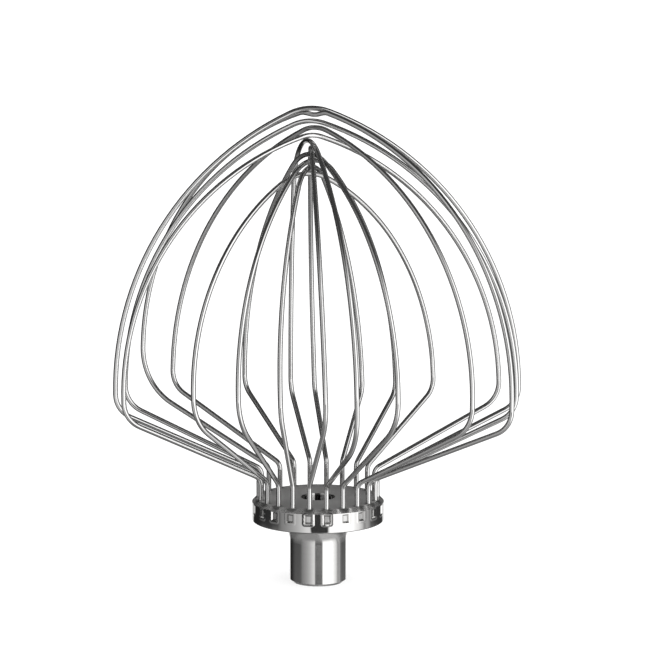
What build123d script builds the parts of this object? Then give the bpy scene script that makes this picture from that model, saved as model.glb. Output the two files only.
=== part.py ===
"""Wire whisk of a stand mixer: a turned steel hub with eleven spring-wire loops staked into its rim.

Millimetres, +Z up. The whisk stands upside down on its hub, as it is stored: the origin is the middle
of the hub's open end, on the axis of the drive shaft, and the crown of the cage is at the top.
Directions are in degrees from the front (-Y), growing towards the right (+X).
"""

import os
from math import cos, radians, sin, tan

from build123d import *

# Drive shaft of the mixer and the cross pin that turns the hub
shaft_diameter = 12.7
shaft_clearance = 0.15
drive_pin_diameter = 4.8
drive_pin_reach = 2.2
drive_pin_clearance = 0.3
drive_pin_height = 14.0
drive_pin_direction = 150.0
drive_pin_lock_turn = 55.0

# Hub
shank_diameter = 22.6
shank_length = 24.9
shank_end_chamfer = 1.0
bore_mouth_chamfer = 0.5
flange_diameter = 52.6
flange_thickness = 9.3
flange_top_chamfer = 1.6
flange_lower_round = 0.5
neck_fillet = 8.0

# Holes for the wire ends, just inside the flange's top chamfer, and the punch marks that hold them
wire_diameter = 2.0
wire_clearance = 0.03
wire_hole_depth = 7.0
wire_hole_land = 0.1
stake_width = 2.9
stake_height = 3.5
stake_depth = 0.7
stake_taper = 30.0
stake_land = 0.4

# Wire loops, heights above the flange's top face
widest_loop_width = 170.0
front_leg_height = 8.7
back_leg_height = 10.0
leg_bend_radius = 4.0
shoulder_height = 39.0
shoulder_straight = 0.5

# Stack of wires at the crown: the outer loops lie an extra gap above the inner ones, and the second-highest
# dips to pass under the highest
lowest_crown_height = 129.0
crown_gap = 0.5
outer_loop_count = 4
outer_crown_gap = 0.6
crown_dip_depth = 1.5
crown_lean_right = -2.6
crown_lean_back = 3.0

# Shoulders of each loop, by its front hole from left to right: how far the shoulder stays inside the widest
# reach, how far it hangs below the shoulder height, and the radius of its bend
front_shoulders = [
    (7.5, 5.0, 10.5),
    (23.5, 2.0, 17.0),
    (34.0, 2.0, 21.0),
    (51.5, 2.0, 25.0),
    (43.0, 2.0, 24.0),
    (34.0, 9.2, 22.0),
    (29.0, 2.0, 19.0),
    (12.5, 4.0, 13.0),
    (1.0, 4.0, 10.0),
    (6.5, 3.5, 10.0),
    (4.5, 2.0, 10.0),
]
back_shoulders = [
    (10.0, 2.0, 11.0),
    (23.0, 2.0, 9.0),
    (30.5, 3.6, 9.0),
    (42.0, 2.0, 9.0),
    (43.0, 2.0, 9.0),
    (42.0, 2.0, 12.0),
    (29.0, 2.0, 9.0),
    (10.5, 1.0, 10.0),
    (2.5, 0.0, 24.0),
    (7.5, 2.5, 11.0),
    (5.0, 3.0, 10.0),
]

# In the same order, one value for each loop: the direction that its front faces, how far its back is turned
# from straight across, the radius of its bend at the crown, how far that bend lies from the crown's middle in
# the loop's direction, and the loop's place in the stack of wires there, from 0 at the bottom
loop_directions = [-77.0, -50.0, -36.0, -25.0, 4.5, 17.0, 33.0, 54.0, 61.5, 84.0, 95.0]
loop_back_turns = [0.0, 0.0, 0.0, 0.0, -2.4, -1.7, 0.0, 0.0, 0.0, 0.0, 0.0]
loop_crown_radii = [12.0, 26.0, 20.0, 14.0, 10.0, 24.0, 20.0, 15.0, 21.0, 17.0, 20.0]
loop_crown_shifts = [0.0, 2.5, -1.5, 0.0, -1.2, -2.0, 0.0, 2.5, 1.8, 0.0, 0.0]
loop_crown_places = [6, 0, 2, 1, 4, 5, 3, 7, 9, 8, 10]

# Sizes that follow from the ones above; the front lies midway between two holes
loop_count = len(front_shoulders)
hole_count = 2 * loop_count
hole_pitch = 360 / hole_count
first_hole_direction = hole_pitch / 2
flange_top = shank_length + flange_thickness
wire_hole_floor = flange_top - wire_hole_depth
wire_hole_radius = wire_diameter / 2 + wire_clearance
hole_circle_radius = flange_diameter / 2 - flange_top_chamfer - wire_hole_land - wire_hole_radius
bore_radius = shaft_diameter / 2 + shaft_clearance
pin_slot_width = drive_pin_diameter + 2 * drive_pin_clearance
pin_slot_radius = shaft_diameter / 2 + drive_pin_reach + drive_pin_clearance
pin_slot_top = drive_pin_height + pin_slot_width / 2
stake_middle = flange_top - flange_top_chamfer - stake_land - stake_height / 2
shoulder_level = flange_top + shoulder_height
widest_reach = widest_loop_width / 2
top_place = loop_count - 1


def pointing(direction):
    """Level unit vector that points in a direction."""
    return Vector(sin(radians(direction)), -cos(radians(direction)), 0)


def hole_direction(hole):
    """Direction of a wire hole, counted from the first one right of the front."""
    return first_hole_direction + hole * hole_pitch


# Hub: shank and flange turned from one bar, bored through for the shaft, with a bayonet slot for the pin
with BuildPart() as hub:
    Cylinder(shank_diameter / 2, shank_length, align=(Align.CENTER, Align.CENTER, Align.MIN))
    with Locations((0, 0, shank_length)):
        Cylinder(flange_diameter / 2, flange_thickness, align=(Align.CENTER, Align.CENTER, Align.MIN))
    turned_edges = hub.edges().filter_by(GeomType.CIRCLE)
    flange_edges = turned_edges.filter_by(lambda edge: edge.radius > (shank_diameter + flange_diameter) / 4)
    shank_edges = turned_edges - flange_edges
    fillet(shank_edges.sort_by(Axis.Z)[-1], neck_fillet)
    chamfer(shank_edges.sort_by(Axis.Z)[0], shank_end_chamfer)
    chamfer(flange_edges.sort_by(Axis.Z)[-1], flange_top_chamfer)
    fillet(flange_edges.sort_by(Axis.Z)[0], flange_lower_round)
    Hole(bore_radius)
    bore_edges = hub.edges().filter_by(GeomType.CIRCLE).filter_by(lambda edge: edge.radius == bore_radius)
    chamfer(bore_edges, bore_mouth_chamfer)

    # Straight slot up from the open end, then the level turn that locks the pin
    with BuildSketch() as straight_slot:
        with Locations(Rotation(0, 0, drive_pin_direction - 90)):
            Rectangle(pin_slot_radius, pin_slot_width, align=(Align.MIN, Align.CENTER))
    extrude(amount=pin_slot_top, mode=Mode.SUBTRACT)
    with BuildSketch(Plane.XY.offset(drive_pin_height)) as locking_turn:
        with BuildLine():
            turn_start = pointing(drive_pin_direction) * pin_slot_radius
            turn_middle = pointing(drive_pin_direction + drive_pin_lock_turn / 2) * pin_slot_radius
            turn_end = pointing(drive_pin_direction + drive_pin_lock_turn) * pin_slot_radius
            ThreePointArc(turn_start, turn_middle, turn_end)
            Polyline(turn_end, (0, 0), turn_start)
        make_face()
    extrude(amount=pin_slot_width / 2, both=True, mode=Mode.SUBTRACT)

    # Blind holes for the wire ends, and a square punch mark in the rim outside each one
    with Locations((0, 0, flange_top)):
        with PolarLocations(hole_circle_radius, hole_count, start_angle=first_hole_direction - 90):
            Hole(wire_hole_radius, depth=wire_hole_depth)
    stake_planes = []
    for hole in range(hole_count):
        outward = pointing(hole_direction(hole))
        rim_point = outward * (flange_diameter / 2) + Vector(0, 0, stake_middle)
        stake_planes.append(Plane(origin=rim_point, x_dir=(-outward.Y, outward.X, 0), z_dir=outward))
    with BuildSketch(*stake_planes):
        Rectangle(stake_width, stake_height)
    extrude(amount=-stake_depth, taper=stake_taper, mode=Mode.SUBTRACT)

os.makedirs("parts", exist_ok=True)
hub.part.label = "hub"
export_step(hub.part, "parts/hub.step")

# Wire loops: each rises out of its two holes, slants out to a shoulder and closes over the crown
for loop in range(loop_count):
    front_inset, front_drop, front_bend_radius = front_shoulders[loop]
    back_inset, back_drop, back_bend_radius = back_shoulders[loop]
    crown_bend_radius = loop_crown_radii[loop]
    crown_place = loop_crown_places[loop]
    crown_height = lowest_crown_height + crown_place * (wire_diameter + crown_gap)
    if crown_place > top_place - outer_loop_count:
        crown_height += outer_crown_gap
    crown_dip = crown_dip_depth if crown_place == top_place - 1 else 0

    # Plane of the loop, through its two shoulders and its crown
    hole_vector = pointing(hole_direction(loop - loop_count // 2)) * hole_circle_radius
    facing = pointing(loop_directions[loop])
    front_shoulder = facing * (widest_reach - front_inset) + Vector(0, 0, shoulder_level - front_drop)
    back_facing = pointing(loop_directions[loop] + loop_back_turns[loop])
    back_shoulder = back_facing * (back_inset - widest_reach) + Vector(0, 0, shoulder_level - back_drop)
    crown_point = Vector(crown_lean_right, crown_lean_back, flange_top + crown_height)
    crown_point += facing * loop_crown_shifts[loop]
    across = front_shoulder - back_shoulder
    half_width = across.length / 2
    loop_plane = Plane(
        origin=(front_shoulder + back_shoulder) * 0.5,
        x_dir=across,
        z_dir=across.cross(crown_point - back_shoulder),
    )
    crown = loop_plane.to_local_coords(crown_point)
    bend_top = crown.Y + crown_dip

    with BuildPart() as wire_loop:
        with BuildLine(loop_plane):
            side_arcs = []
            for side, leg_height, shoulder, shoulder_bend_radius in (
                (1, front_leg_height, front_shoulder, front_bend_radius),
                (-1, back_leg_height, back_shoulder, back_bend_radius),
            ):
                # Leg out of the hole, slanted run and shoulder
                leg_end = hole_vector * side + Vector(0, 0, wire_hole_floor)
                leg_corner = hole_vector * side + Vector(0, 0, flange_top + leg_height)
                shoulder_turn = (shoulder - leg_corner).get_angle(loop_plane.y_dir)
                arc_level = shoulder_bend_radius * tan(radians(shoulder_turn / 2)) + shoulder_straight
                arc_start = shoulder + loop_plane.y_dir * arc_level
                bends = [leg_bend_radius, shoulder_bend_radius]
                FilletPolyline(leg_end, leg_corner, shoulder, arc_start, radius=bends)

                # Long arc up the side to where it touches the crown's bend. Its bow, one over its radius, is
                # none where the loop is as narrow as that bend
                reach = half_width - side * crown.X
                rise = bend_top - crown_bend_radius - arc_level
                bow = 2 * (reach - crown_bend_radius) / (reach**2 + rise**2 - crown_bend_radius**2)
                touch_span = crown_bend_radius / (1 - crown_bend_radius * bow)
                touch_x = crown.X + side * touch_span * (1 - reach * bow)
                touch_y = bend_top - crown_bend_radius + touch_span * rise * bow
                arc_end = loop_plane.from_local_coords(Vector(touch_x, touch_y))
                side_arcs.append(TangentArc(arc_start, arc_end, tangent=loop_plane.y_dir))

            # Bend over the crown, or the dip of the second-highest loop
            front_arc, back_arc = side_arcs
            if crown_dip:
                dip_tangents = [front_arc % 1, (back_arc % 1) * -1]
                Spline(front_arc @ 1, crown_point, back_arc @ 1, tangents=dip_tangents)
            else:
                ThreePointArc(front_arc @ 1, crown_point, back_arc @ 1)

        with BuildSketch(Plane(origin=hole_vector + Vector(0, 0, wire_hole_floor))):
            Circle(wire_diameter / 2)
        sweep()

    name = f"whisk_wire_{loop + 1:02d}"
    wire_loop.part.label = name
    export_step(wire_loop.part, f"parts/{name}.step")
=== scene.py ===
from math import radians

import bpy
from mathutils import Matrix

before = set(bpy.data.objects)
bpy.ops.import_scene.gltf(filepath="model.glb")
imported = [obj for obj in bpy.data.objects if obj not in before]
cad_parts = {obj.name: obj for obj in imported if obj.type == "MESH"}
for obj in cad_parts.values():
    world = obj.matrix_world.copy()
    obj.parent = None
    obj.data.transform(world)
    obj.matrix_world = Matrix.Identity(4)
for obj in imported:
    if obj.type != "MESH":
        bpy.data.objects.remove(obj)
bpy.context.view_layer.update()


# Hub: shank and flange turned from one stainless bar. The shank is left satin from the lathe, the rim and
# its chamfer are polished, and the top face is a dull turned grey. Each wire end is held by a square punch
# mark in the rim, which pushes the polished metal up around it.
class Reading:
    """A value in a node tree. Sums written on it add the Math nodes that work them out."""

    def __init__(self, tree, socket=None):
        self.tree = tree
        self.socket = socket

    def node(self, kind, settings=None, inputs=None, output=0):
        """Adds a node, sets its settings, then fills its sockets with numbers or links."""
        added = self.tree.nodes.new(kind)
        for name, setting in (settings or {}).items():
            if name == "stops":
                ramp = added.color_ramp.elements
                for stop, (place, level) in zip([ramp[0], ramp[1]], [setting[0], setting[-1]]):
                    stop.position, stop.color = place, (level, level, level, 1)
                for place, level in setting[1:-1]:
                    ramp.new(place).color = (level, level, level, 1)
            else:
                setattr(added, name, setting)
        for name, given in (inputs or {}).items():
            if isinstance(given, Reading):
                self.tree.links.new(given.socket, added.inputs[name])
            else:
                added.inputs[name].default_value = given
        return Reading(self.tree, added.outputs[output] if added.outputs else None)

    def math(self, operation, *others):
        """A Math node on this value and any others."""
        return self.node("ShaderNodeMath", {"operation": operation}, dict(enumerate((self, *others))))

    def __add__(self, other):
        return self.math("ADD", other)

    def __sub__(self, other):
        return self.math("SUBTRACT", other)

    def __rsub__(self, other):
        return self.node("ShaderNodeMath", {"operation": "SUBTRACT"}, {0: other, 1: self})

    def __mul__(self, other):
        return self.math("MULTIPLY", other)

    def __truediv__(self, other):
        return self.math("DIVIDE", other)

    __radd__ = __add__
    __rmul__ = __mul__

    def rise(self, low, high):
        """0 below low, 1 above high, with a soft step between them."""
        limits = {"Value": self, "From Min": low, "From Max": high}
        return self.node("ShaderNodeMapRange", {"interpolation_type": "SMOOTHSTEP"}, limits)

    def band(self, low, high, edge):
        """1 from low to high, and 0 outside, with soft edges."""
        return self.rise(low - edge, low + edge) * (1 - self.rise(high - edge, high + edge))

    def noise(self, along_x, along_y, along_z, detail=2.0):
        """Smooth noise from 0 to 1 on three readings."""
        place = self.node("ShaderNodeCombineXYZ", {}, {0: along_x, 1: along_y, 2: along_z})
        return self.node("ShaderNodeTexNoise", {}, {"Vector": place, "Scale": 1.0, "Detail": detail})


def position(tree):
    """The three object coordinates of the surface, in metres."""
    start = Reading(tree)
    place = start.node("ShaderNodeTexCoord", output="Object")
    return [start.node("ShaderNodeSeparateXYZ", {}, {0: place}, output=axis) for axis in range(3)]


def steel(name):
    """A new metal material, with its node tree and its shader node."""
    material = bpy.data.materials.new(name)
    material.use_nodes = True
    shader = material.node_tree.nodes["Principled BSDF"]
    shader.inputs["Metallic"].default_value = 1.0
    return material, material.node_tree, shader


slot_reach = 0.0090
shank_end_chamfer = 0.0010
neck_base = 0.0169
neck_fade = 0.0030
flange_radius = 0.0263
flange_base = 0.0249
flange_top = 0.0342
chamfer_foot = 0.0326
chamfer_width = flange_top - chamfer_foot
hole_circle_radius = 0.02357
mark_count = 22
mark_spacing = radians(360 / mark_count)
mark_middle = 0.03045
mark_half_width = 0.00145
mark_half_height = 0.00175
mark_wall = 0.0004
ridge_width = 0.0008
ridge_rise = 25.0
front_marks_reach = 0.30

steel_grey = 0.63
face_darkening = 0.23
# The bore darkening is painted shade, and the crease, torn and grease darkenings are partly painted shade
bore_painted_shade = 0.28
mark_darkening = 0.10
crease_shade_and_dirt = 0.45
torn_shade_darkening = 0.9
grease_and_shade_darkening = 0.6
rim_roughness = 0.03
shank_roughness = 0.12
face_roughness = 0.42

turned_steel, tree, shader = steel("turned_steel")
x, y, z = position(tree)
radius = (x * x + y * y).math("SQRT")
angle = x.math("ARCTAN2", 0 - y)

# Where each finish lies
top_face = z.rise(flange_top - 0.00006, flange_top - 0.00002)
chamfer_inside = flange_radius - chamfer_width
rim = radius.rise(chamfer_inside - 0.0003, chamfer_inside) * z.rise(flange_base, flange_base + 0.0004)
rim = rim * (1 - top_face)
chamfer = rim * z.rise(chamfer_foot, chamfer_foot + 0.0001)
inside = (1 - radius.rise(slot_reach, slot_reach + 0.0002)) * (1 - top_face) * z.rise(0.0002, 0.0006)
shank_end = 1 - z.rise(shank_end_chamfer - 0.0002, shank_end_chamfer + 0.0001)
neck = z.rise(neck_base, neck_base + neck_fade) * (1 - z.rise(flange_base - 0.0002, flange_base))
neck = neck * (1 - inside)
satin = 1 - (rim + top_face).math("MINIMUM", 1.0)

# Lathe lines run round the axis: they follow the height on the walls and the radius on the flat faces. Noise
# is scaled in waves to the metre
across = z + (radius - z) * top_face
fine_lines = x.noise(x * 40, y * 40, across * 7000, detail=3.0)
broad_lines = x.noise(x * 18, y * 18, across * 1300)
smudges = x.noise(x * 95, y * 95, z * 95, detail=3.0)
dents = x.noise(x * 700, y * 700, z * 700, detail=1.0)

# Distance beyond the sides of the nearest punch mark, round the rim and up it
turn = (angle / mark_spacing + mark_count).math("FRACT") - 0.5
aside = turn.math("ABSOLUTE") * (mark_spacing * flange_radius) - mark_half_width
above = (z - mark_middle).math("ABSOLUTE") - mark_half_height
within = aside.math("MAXIMUM", above)
mark_floor = (1 - within.rise(-mark_wall - 0.00005, -mark_wall + 0.00005)) * rim
crease = within.band(-mark_wall - 0.0002, -mark_wall, 0.0001) * rim

# The punch throws up a rounded ridge about each mark. The two front marks were struck hardest: their ridges
# are highest, and the metal is torn on the sides that face away from each other and underneath, where painted
# shade makes it nearly black
struck_hard = angle.band(-front_marks_reach, front_marks_reach, 0.05)
far_side = angle.math("ABSOLUTE").rise(0.16, 0.18)
beyond_side = aside.math("MAXIMUM", 0.0)
beyond_end = above.math("MAXIMUM", 0.0)
beyond = (beyond_side * beyond_side + beyond_end * beyond_end).math("SQRT")
ridge = beyond.band(0.0001, ridge_width, 0.0004) * rim * (0.2 + 0.8 * struck_hard) * (0.6 + 0.8 * dents)
torn_painted_shade = beyond.band(ridge_width / 2, ridge_width, 0.00015) * rim * struck_hard
underneath = (1 - z.rise(mark_middle - mark_half_height, mark_middle)) * dents.rise(0.50, 0.60)
torn_painted_shade = torn_painted_shade * (far_side * dents.rise(0.25, 0.40) + underneath).math("MINIMUM", 1.0)

# Grease and painted shade darken the face round the wires' feet and the chamfer outside them
foot_side = turn * mark_spacing * radius
foot_out = radius - hole_circle_radius
from_foot = (foot_side * foot_side + foot_out * foot_out).math("SQRT")
grease_and_shade = (1 - from_foot.rise(0.0011, 0.0024)) * top_face * smudges.rise(0.2, 0.6)
grease_and_shade = grease_and_shade + (1 - from_foot.rise(0.0018, 0.0030)) * chamfer

# Painted light: bright streaks on the bore's back wall, a painted highlight of the lit far wall seen down the
# bore
left_streak = x.band(-0.0024, -0.0013, 0.0002)
right_streak = x.band(0.0010, 0.0024, 0.0002)
painted_light_streaks = inside * y.rise(0.0, 0.002) * (left_streak + 0.4 * right_streak)

# Colour, roughness, metal and relief. Dull places scatter part of the light, so they count as less metallic,
# and relief is in hundredths of a millimetre
tone = steel_grey + (broad_lines - 0.5) * 0.06 * satin + (fine_lines - 0.5) * 0.05
tone = tone - face_darkening * top_face + (smudges - 0.5) * (0.14 * top_face + 0.05 * satin)
# Painted shade darkens the inside of the bore, and painted light brightens the streaks on its back wall
tone = tone - bore_painted_shade * inside + 0.5 * painted_light_streaks
# Painted shade and dirt darken the crease along each mark's wall
tone = tone - mark_darkening * mark_floor - crease_shade_and_dirt * crease
# Painted shade blackens the front marks' torn metal, and grease and painted shade darken round the wires'
# feet
tone = tone * (1 - torn_shade_darkening * torn_painted_shade) * (1 - grease_and_shade_darkening * grease_and_shade)
grain = rim_roughness * rim + shank_roughness * satin + face_roughness * top_face
grain = grain + (fine_lines - 0.5) * (0.01 + 0.06 * satin)
grain = grain + (smudges - 0.5) * 0.04 * (1 - rim) + mark_floor * 0.26 + chamfer * 0.20
metal = 1 - 0.20 * top_face - 0.10 * chamfer - 0.80 * painted_light_streaks - 0.15 * mark_floor
metal = metal - 0.30 * shank_end - 0.20 * neck
warmth = x.node("ShaderNodeCombineColor", {}, {0: tone, 1: tone * 0.992, 2: tone * 0.98})
relief = fine_lines * (0.004 + 0.03 * satin) + broad_lines * 0.03 * satin + ridge * ridge_rise
bump = x.node("ShaderNodeBump", {}, {"Height": relief, "Strength": 1.0, "Distance": 0.00001})
tree.links.new(warmth.socket, shader.inputs["Base Color"])
tree.links.new(grain.socket, shader.inputs["Roughness"])
tree.links.new(metal.socket, shader.inputs["Metallic"])
tree.links.new(bump.socket, shader.inputs["Normal"])
shader.inputs["Anisotropic"].default_value = 0.8
shader.inputs["Anisotropic Rotation"].default_value = 0.25

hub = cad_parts["hub"]
hub.data.materials.clear()
hub.data.materials.append(turned_steel)


# Wire loops: eleven lengths of drawn stainless spring wire, polished, bent to their shape and pushed into the
# hub's holes. Handling leaves faint dull patches and specks on the polish.
wire_grey = 0.66
wire_roughness = 0.08
drawn_wire, tree, shader = steel("drawn_wire")
x, y, z = position(tree)
cloud = x.noise(x * 60, y * 60, z * 60, detail=3.0)
specks = x.noise(x * 900, y * 900, z * 900)
shine = wire_roughness + (cloud - 0.5) * 0.06 + (specks - 0.5) * 0.04
tone = wire_grey + (cloud - 0.5) * 0.10 + (specks - 0.5) * 0.06
warmth = x.node("ShaderNodeCombineColor", {}, {0: tone, 1: tone * 0.995, 2: tone * 0.988})
bump = x.node("ShaderNodeBump", {}, {"Height": specks, "Strength": 0.15, "Distance": 0.00002})
tree.links.new(warmth.socket, shader.inputs["Base Color"])
tree.links.new(shine.socket, shader.inputs["Roughness"])
tree.links.new(bump.socket, shader.inputs["Normal"])

for name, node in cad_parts.items():
    if name.startswith("whisk_wire"):
        node.data.materials.clear()
        node.data.materials.append(drawn_wire)


# Floor: a plain white sheet, lit from below as well, that runs past the edges of the view. The steel doesn't
# mirror it.
floor_radius = 60.0
bpy.ops.object.select_all(action="DESELECT")
bpy.ops.mesh.primitive_circle_add(vertices=64, radius=floor_radius, fill_type="NGON", location=(0, 0, 0))
floor = bpy.context.object
floor.name = "floor"
floor_paint = bpy.data.materials.new("floor_paint")
floor_paint.use_nodes = True
floor_shader = floor_paint.node_tree.nodes["Principled BSDF"]
floor_shader.inputs["Base Color"].default_value = (0.35, 0.35, 0.35, 1)
floor_shader.inputs["Emission Color"].default_value = (1, 1, 1, 1)
floor_shader.inputs["Emission Strength"].default_value = 0.68
floor_shader.inputs["Roughness"].default_value = 0.9
floor_shader.inputs["Specular IOR Level"].default_value = 0.0
floor.data.materials.append(floor_paint)
floor.visible_glossy = False


# Studio: soft boxes right and left of the camera with a dark gap between them, a low one behind, and a broad
# soft light from above that whitens the floor and isn't mirrored.
studio = bpy.data.worlds.new("studio")
studio.use_nodes = True
bpy.context.scene.world = studio
tree = studio.node_tree
tree.nodes.clear()
start = Reading(tree)
ray = start.node("ShaderNodeTexCoord", output="Generated")
east, north, up = [start.node("ShaderNodeSeparateXYZ", {}, {0: ray}, output=axis) for axis in range(3)]
bearing = east.math("ARCTAN2", 0 - north).math("DEGREES")
height = up.math("ARCSINE").math("DEGREES")

# Brightness of the boxes all round, by degrees to the right of the camera
brightest = 1.8
round_studio = [
    (-180, 0.12), (-166, 0.10), (-152, 0.01), (-121, 0.015), (-105, 0.02), (-84, 0.03), (-75, 0.05),
    (-66, 0.30), (-48, 0.47), (-40, 0.57), (-31, 0.73), (-20, 1.00), (19, 1.20), (22, 1.80), (62, 1.80),
    (68, 1.43), (76, 1.20), (84, 0.80), (88, 0.45), (90, 0.38), (95, 0.54), (101, 0.38), (106, 0.12),
    (118, 0.05), (152, 0.03), (166, 0.10), (180, 0.12),
]
stops = [((degree + 180) / 360, level / brightest) for degree, level in round_studio]
panels = start.node("ShaderNodeValToRGB", {"stops": stops}, {0: (bearing + 180) / 360}) * brightest

# What the steel mirrors, by degrees round and degrees up: the boxes, the dark gap where the camera stands,
# the glow off the table at both sides, the ground in front, the sky, and the low box behind
gap_below = (0.84 + 0.12 * height.rise(-22, -15)) * (1 - height.rise(-11.2, -10.7))
camera_gap = bearing.band(-12, 18, 2) * (gap_below + 0.92 * height.rise(-9, 2))
level_part = height.band(-38, 38, 12)
glow_left = bearing.rise(-140, -100) * (1 - bearing.rise(-76, -64))
glow_right = bearing.rise(90, 105)
table_glow = 0.14 * (glow_left + glow_right) * (1 - height.rise(-12.8, -12.5))
ground = (0.22 + 0.30 * bearing.rise(0, 25)) * (1 - height.rise(-50, -26)) * (0 - north).rise(-0.45, -0.05)
sky = 0.05 * height.rise(26, 50)
low_light_behind = 0.8 * bearing.math("ABSOLUTE").rise(150, 160) * height.band(-30, -9, 3)
mirrored = 0.01 + (panels * (1 - camera_gap) + table_glow) * level_part + ground + sky + low_light_behind

# The camera itself sees plain white behind the whisk
reflection = start.node("ShaderNodeBackground", {}, {"Color": (1, 1, 1, 1), "Strength": mirrored})
backdrop = start.node("ShaderNodeBackground", {}, {"Color": (1, 1, 1, 1), "Strength": 1.05})
seen = start.node("ShaderNodeLightPath", output="Is Camera Ray")
both = start.node("ShaderNodeMixShader", {}, {0: seen, 1: reflection, 2: backdrop})
start.node("ShaderNodeOutputWorld", {}, {"Surface": both})

bpy.ops.object.light_add(type="SUN", location=(0, 0, 3))
ceiling = bpy.context.object
ceiling.name = "ceiling_light"
ceiling.data.energy = 4.4
ceiling.data.angle = radians(150)
ceiling.visible_glossy = False
ceiling.visible_camera = False


# Camera: a long lens a metre in front of the whisk, a little above its crown and tipped down, which gives the
# view of the photograph.
tipped_down = 8.06
camera_data = bpy.data.cameras.new("camera")
camera_data.lens = 141.5
camera_data.sensor_width = 36.0
camera_data.clip_end = 200.0
camera = bpy.data.objects.new("camera", camera_data)
camera.location = (0.0028, -1.0, 0.245)
camera.rotation_euler = (radians(90 - tipped_down), 0, 0)
bpy.context.scene.collection.objects.link(camera)
bpy.context.scene.camera = camera
bpy.context.scene.view_settings.view_transform = "Standard"
